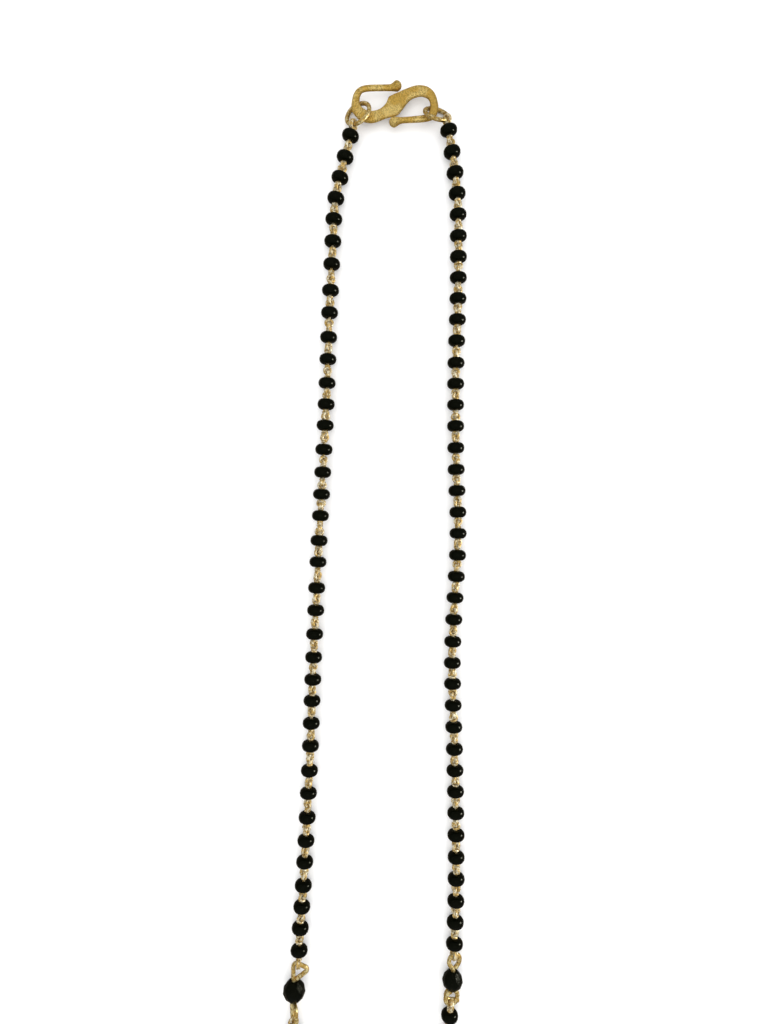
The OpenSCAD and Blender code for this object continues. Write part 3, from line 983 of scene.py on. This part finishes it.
def make_hook():
    """The flat S-shaped hook: crowned a little across its width, with softened edges."""
    hook = merged_copy("hook_clasp", "hook")
    take(hook)
    edit("SELECT", by="FACE")
    bpy.ops.transform.shrink_fatten(value=HOOK_SWELL)
    bpy.ops.mesh.select_all(action="DESELECT")
    for width, rise in CROWN:
        for way in (1, -1):
            pick_faces(hook, lambda centre, normal: normal.z * way > FLAT_SIDE)
            bpy.ops.mesh.inset(thickness=width, depth=rise, use_even_offset=False)
    done()
    divide = hook.modifiers.new("Round", "SUBSURF")
    divide.levels = ROUNDING_LEVELS
    divide.render_levels = ROUNDING_LEVELS
    apply_modifiers(hook)
    piece = join_as("hook", [hook])
    complete(piece, "hook_clasp", "Gilt plate", HOOK_SMOOTH)


# Floor, light and camera

FLOOR_SIZE = 3.0  # in metres
FLOOR_WHITE = (0.95, 0.95, 0.95, 1)
FLOOR_MIRRORED = (0.24, 0.21, 0.17, 1)
FLOOR_ROUGHNESS = 0.9
# Tones of the surroundings in reflections: at the horizon, at heights from there (0) to straight
# above (1), and straight above
HORIZON = (0.35, 0.34, 0.33, 1)
BANDS = ((0.25, 0.30), (0.45, 0.95), (0.7, 0.55), (0.9, 0.95))
OVERHEAD = (1.1, 1.1, 1.1, 1)
GLINT_SIZE = 50 * MM  # diameter of the small light
GLINT_PLACE = Vector((190 * MM, 15 * MM, 44 * MM))
GLINT_TARGET = Vector((0, 20 * MM, 0))
SENSOR_WIDTH = 36.0  # in millimetres
NEAREST_SEEN = 10 * MM
FARTHEST_SEEN = 10.0  # in metres


def make_floor():
    """A plain pale floor, which polished metal mirrors as a darker one."""
    clear_selection()
    bpy.ops.mesh.primitive_plane_add(size=FLOOR_SIZE, location=(0, 0, 0))
    floor = bpy.context.object
    floor.name = "floor"
    material = bpy.data.materials.new("Pale floor")
    material.use_nodes = True
    tree = material.node_tree
    shader = tree.nodes["Principled BSDF"]
    shader.inputs["Roughness"].default_value = FLOOR_ROUGHNESS
    shader.inputs["Specular IOR Level"].default_value = 0.0
    path = tree.nodes.new("ShaderNodeLightPath")
    mirrored = path.outputs["Is Glossy Ray"]
    tone = add_mix(tree, mirrored, FLOOR_WHITE, FLOOR_MIRRORED, at=(-300, 0))
    tree.links.new(tone, shader.inputs["Base Color"])
    floor.data.materials.append(material)


def make_world(stage):
    """Even light on matt things, and soft bands of light and shade for what is polished."""
    world = bpy.context.scene.world or bpy.data.worlds.new("Studio")
    bpy.context.scene.world = world
    world.use_nodes = True
    tree = world.node_tree
    tree.nodes.clear()
    end = tree.nodes.new("ShaderNodeOutputWorld")
    even = tree.nodes.new("ShaderNodeBackground")
    even.inputs["Color"].default_value = (1, 1, 1, 1)
    even.inputs["Strength"].default_value = stage.ambient
    seen = tree.nodes.new("ShaderNodeBackground")
    seen.inputs["Strength"].default_value = stage.reflected
    path = tree.nodes.new("ShaderNodeLightPath")
    mix = tree.nodes.new("ShaderNodeMixShader")
    way = tree.nodes.new("ShaderNodeTexCoord")
    split = tree.nodes.new("ShaderNodeSeparateXYZ")
    bands = tree.nodes.new("ShaderNodeValToRGB")
    ramp = bands.color_ramp
    ramp.elements[0].position = 0.0
    ramp.elements[0].color = HORIZON
    ramp.elements[1].position = 1.0
    ramp.elements[1].color = OVERHEAD
    for height, tone in BANDS:
        ramp.elements.new(height).color = (tone, tone, tone, 1)
    tree.links.new(way.outputs["Generated"], split.inputs[0])
    tree.links.new(split.outputs["Z"], bands.inputs["Fac"])
    tree.links.new(bands.outputs["Color"], seen.inputs["Color"])
    tree.links.new(path.outputs["Is Glossy Ray"], mix.inputs[0])
    tree.links.new(even.outputs[0], mix.inputs[1])
    tree.links.new(seen.outputs[0], mix.inputs[2])
    tree.links.new(mix.outputs[0], end.inputs["Surface"])


def make_glint(stage):
    """A small strong light low at the right, which only shows as glints on wire and glass.
    The hook's broad satin faces are kept out of it."""
    light = bpy.data.lights.new("glint light", "AREA")
    light.shape = "DISK"
    light.size = GLINT_SIZE
    light.energy = stage.glint
    lamp = bpy.data.objects.new("glint light", light)
    bpy.context.scene.collection.objects.link(lamp)
    lamp.location = GLINT_PLACE
    lamp.rotation_euler = (GLINT_TARGET - GLINT_PLACE).to_track_quat("-Z", "Y").to_euler()
    lamp.visible_diffuse = False
    lamp.visible_camera = False
    unlit = bpy.data.collections.new("Not lit by the glint")
    unlit.objects.link(bpy.data.objects["hook"])
    lamp.light_linking.receiver_collection = unlit
    unlit.collection_objects[0].light_linking.link_state = "EXCLUDE"


def make_camera(stage):
    """A camera that looks straight down on the necklace."""
    data = bpy.data.cameras.new("camera")
    data.lens = stage.lens
    data.sensor_width = SENSOR_WIDTH
    data.sensor_fit = "AUTO"
    data.clip_start = NEAREST_SEEN
    data.clip_end = FARTHEST_SEEN
    camera = bpy.data.objects.new("camera", data)
    bpy.context.scene.collection.objects.link(camera)
    camera.location = (*stage.aim, stage.height)
    camera.rotation_euler = (0, 0, 0)
    bpy.context.scene.camera = camera
    bpy.context.scene.view_settings.view_transform = "Standard"


# Operators

STRANDS = ("left", "right", "lower")
SIDES = ("left", "right")
BEAD_SEED = 11
LINK_SEED = 31


class NECKLACE_OT_finishes(bpy.types.Operator):
    """Make the gilt and glass materials"""

    bl_idname = "necklace.finishes"
    bl_label = "Finishes"

    def execute(self, context):
        colours = context.scene.necklace_colours
        gilding = worn_gilt_group()
        for name, gold, rubbed in (
            ("Gilt plate", colours.hook, colours.hook_rubbed),
            ("Gilt ring", colours.ring, colours.ring_rubbed),
            ("Pale gilt wire", colours.wire, colours.wire_rubbed),
        ):
            golds = {"Gilding": gold, "Rubbed": rubbed, "Tarnish": colours.tarnish}
            make_material(name, gilding, golds)
        glass = glass_skin_group()
        make_material("Black glass", glass, {"Glass": colours.glass})
        make_material("Speckled black glass", glass, {})
        return {"FINISHED"}


class NECKLACE_OT_hook(bpy.types.Operator):
    """Make the flat S-shaped hook"""

    bl_idname = "necklace.hook"
    bl_label = "Hook"

    def execute(self, context):
        make_hook()
        return {"FINISHED"}


class NECKLACE_OT_rings(bpy.types.Operator):
    """Make the two jump rings that the hook holds"""

    bl_idname = "necklace.rings"
    bl_label = "Jump Rings"

    def execute(self, context):
        for side in SIDES:
            make_ring(context, f"ring_{side}", f"{side}_ring", RING_SEAMS[side])
        return {"FINISHED"}


class NECKLACE_OT_small_beads(bpy.types.Operator):
    """Make the small black glass beads of the three strands"""

    bl_idname = "necklace.small_beads"
    bl_label = "Small Beads"

    def execute(self, context):
        for seed, strand in enumerate(STRANDS, BEAD_SEED):
            make_small_beads(context, f"small_beads_{strand}", f"{strand}_beads", seed)
        return {"FINISHED"}


class NECKLACE_OT_small_links(bpy.types.Operator):
    """Bend the fine wire links of the three strands"""

    bl_idname = "necklace.small_links"
    bl_label = "Small Links"

    def execute(self, context):
        for seed, strand in enumerate(STRANDS, LINK_SEED):
            make_small_links(
                context, f"small_links_{strand}", f"{strand}_links", f"{strand}_beads", seed
            )
        return {"FINISHED"}


class NECKLACE_OT_large_beads(bpy.types.Operator):
    """Make the two large faceted beads"""

    bl_idname = "necklace.large_beads"
    bl_label = "Large Beads"

    def execute(self, context):
        for side in SIDES:
            make_large_bead(context, f"large_bead_{side}", f"{side}_large_bead")
        return {"FINISHED"}


class NECKLACE_OT_large_links(bpy.types.Operator):
    """Bend the heavier wire links of the two large beads"""

    bl_idname = "necklace.large_links"
    bl_label = "Large Links"

    def execute(self, context):
        for side in SIDES:
            make_large_link(
                context, f"large_link_{side}", f"{side}_large_link", f"{side}_large_bead",
                LARGE_EYES[side],
            )
        return {"FINISHED"}


class NECKLACE_OT_stage(bpy.types.Operator):
    """Set the floor, the soft light and the camera"""

    bl_idname = "necklace.stage"
    bl_label = "Floor, Light and Camera"

    def execute(self, context):
        stage = context.scene.necklace_stage
        make_floor()
        make_world(stage)
        make_glint(stage)
        make_camera(stage)
        return {"FINISHED"}


class NECKLACE_PT_bench(bpy.types.Panel):
    """Lists the necklace's sizes, colours and pieces"""

    bl_label = "Necklace"
    bl_idname = "NECKLACE_PT_bench"
    bl_space_type = "VIEW_3D"
    bl_region_type = "UI"
    bl_category = "Necklace"

    def draw(self, context):
        layout = self.layout
        for name, group in GROUPS:
            box = layout.box()
            for value in group.__annotations__:
                box.prop(getattr(context.scene, name), value)
        for operator in OPERATORS:
            layout.operator(operator.bl_idname)


OPERATORS = (
    NECKLACE_OT_finishes,
    NECKLACE_OT_hook,
    NECKLACE_OT_rings,
    NECKLACE_OT_small_beads,
    NECKLACE_OT_small_links,
    NECKLACE_OT_large_beads,
    NECKLACE_OT_large_links,
    NECKLACE_OT_stage,
)
GROUPS = (
    ("necklace_beads", NecklaceBeadSizes),
    ("necklace_wire", NecklaceWireSizes),
    ("necklace_colours", NecklaceColours),
    ("necklace_stage", NecklaceStageSizes),
)


def register():
    for name, group in GROUPS:
        bpy.utils.register_class(group)
        setattr(bpy.types.Scene, name, bpy.props.PointerProperty(type=group))
    for operator in OPERATORS:
        bpy.utils.register_class(operator)
    bpy.utils.register_class(NECKLACE_PT_bench)


def unregister():
    bpy.utils.unregister_class(NECKLACE_PT_bench)
    for operator in reversed(OPERATORS):
        bpy.utils.unregister_class(operator)
    for name, group in reversed(GROUPS):
        delattr(bpy.types.Scene, name)
        bpy.utils.unregister_class(group)


def main():
    register()
    bpy.ops.necklace.finishes()
    bpy.ops.necklace.hook()
    bpy.ops.necklace.rings()
    bpy.ops.necklace.small_beads()
    bpy.ops.necklace.small_links()
    bpy.ops.necklace.large_beads()
    bpy.ops.necklace.large_links()
    bpy.ops.necklace.stage()


if __name__ == "__main__":
    main()
